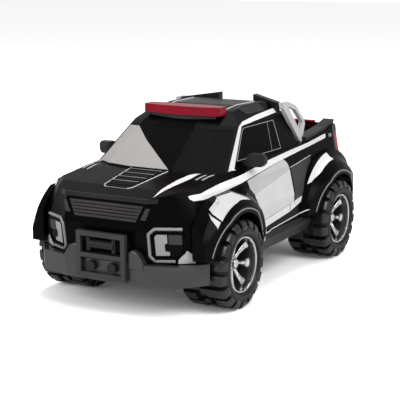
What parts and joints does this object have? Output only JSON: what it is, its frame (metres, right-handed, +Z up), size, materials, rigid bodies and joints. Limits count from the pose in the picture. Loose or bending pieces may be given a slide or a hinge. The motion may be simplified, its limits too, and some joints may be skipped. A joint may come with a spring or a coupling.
{
  "type": "toy police pickup truck",
  "caption": "Toy police pickup truck with a hollow moulded body, open load bed, roof light bar, bull bar and free-rolling wheels on steel axles.",
  "frame": {"origin": "on the floor under the middle of the bounding box", "axes": "+X forward, +Y to the truck's left, +Z up"},
  "size_m": [0.3493, 0.202, 0.171],
  "materials": {
    "body_black": "gloss",
    "window_black": "gloss",
    "dark_grey": "satin",
    "silver_trim": "gloss",
    "red_lens": "gloss",
    "tail_red": "gloss",
    "lamp_lens": "gloss",
    "rim": "polished",
    "axle_steel": "bright",
    "tyre": "matt"
  },
  "bodies": {
    "body": {"body_shell": "body_black", "windscreen": "window_black", "rear_window": "window_black", "side_window_left": "window_black", "side_window_right": "window_black", "grille": "dark_grey", "grille_band": "dark_grey", "head_lamp_left": "lamp_lens", "head_lamp_right": "lamp_lens", "tailgate": "body_black", "tail_lamp_left": "tail_red", "tail_lamp_right": "tail_red", "bed_liner": "dark_grey", "bed_rail_left": "dark_grey", "bed_rail_right": "dark_grey", "fender_flare_front_left": "body_black", "fender_flare_front_right": "body_black", "fender_flare_rear_left": "body_black", "fender_flare_rear_right": "body_black", "light_bar_lens": "red_lens", "light_bar_base": "dark_grey", "roof_fin_left": "dark_grey", "roof_fin_right": "dark_grey", "roll_bar_left": "silver_trim", "roll_bar_right": "silver_trim", "mirror_left": "dark_grey", "mirror_right": "dark_grey", "sill_left": "dark_grey", "sill_right": "dark_grey", "front_bumper": "dark_grey", "rear_bumper": "dark_grey", "bull_bar": "dark_grey", "winch": "dark_grey", "fog_lamp_left": "dark_grey", "fog_lamp_right": "dark_grey", "chassis": "dark_grey"},
    "front_wheels": {"front_axle": "axle_steel", "rim_front_left": "rim", "rim_front_right": "rim", "tyre_front_left": "tyre", "tyre_front_right": "tyre"},
    "rear_wheels": {"rear_axle": "axle_steel", "rim_rear_left": "rim", "rim_rear_right": "rim", "tyre_rear_left": "tyre", "tyre_rear_right": "tyre"}
  },
  "joints": [
    {"name": "front_axle_spin", "type": "hinge", "parent": "body", "child": "front_wheels", "pos_m": [0.0935, 0, 0.0406], "axis": [0, 1, 0], "continuous": true},
    {"name": "rear_axle_spin", "type": "hinge", "parent": "body", "child": "rear_wheels", "pos_m": [-0.1215, 0, 0.0406], "axis": [0, 1, 0], "continuous": true}
  ]
}
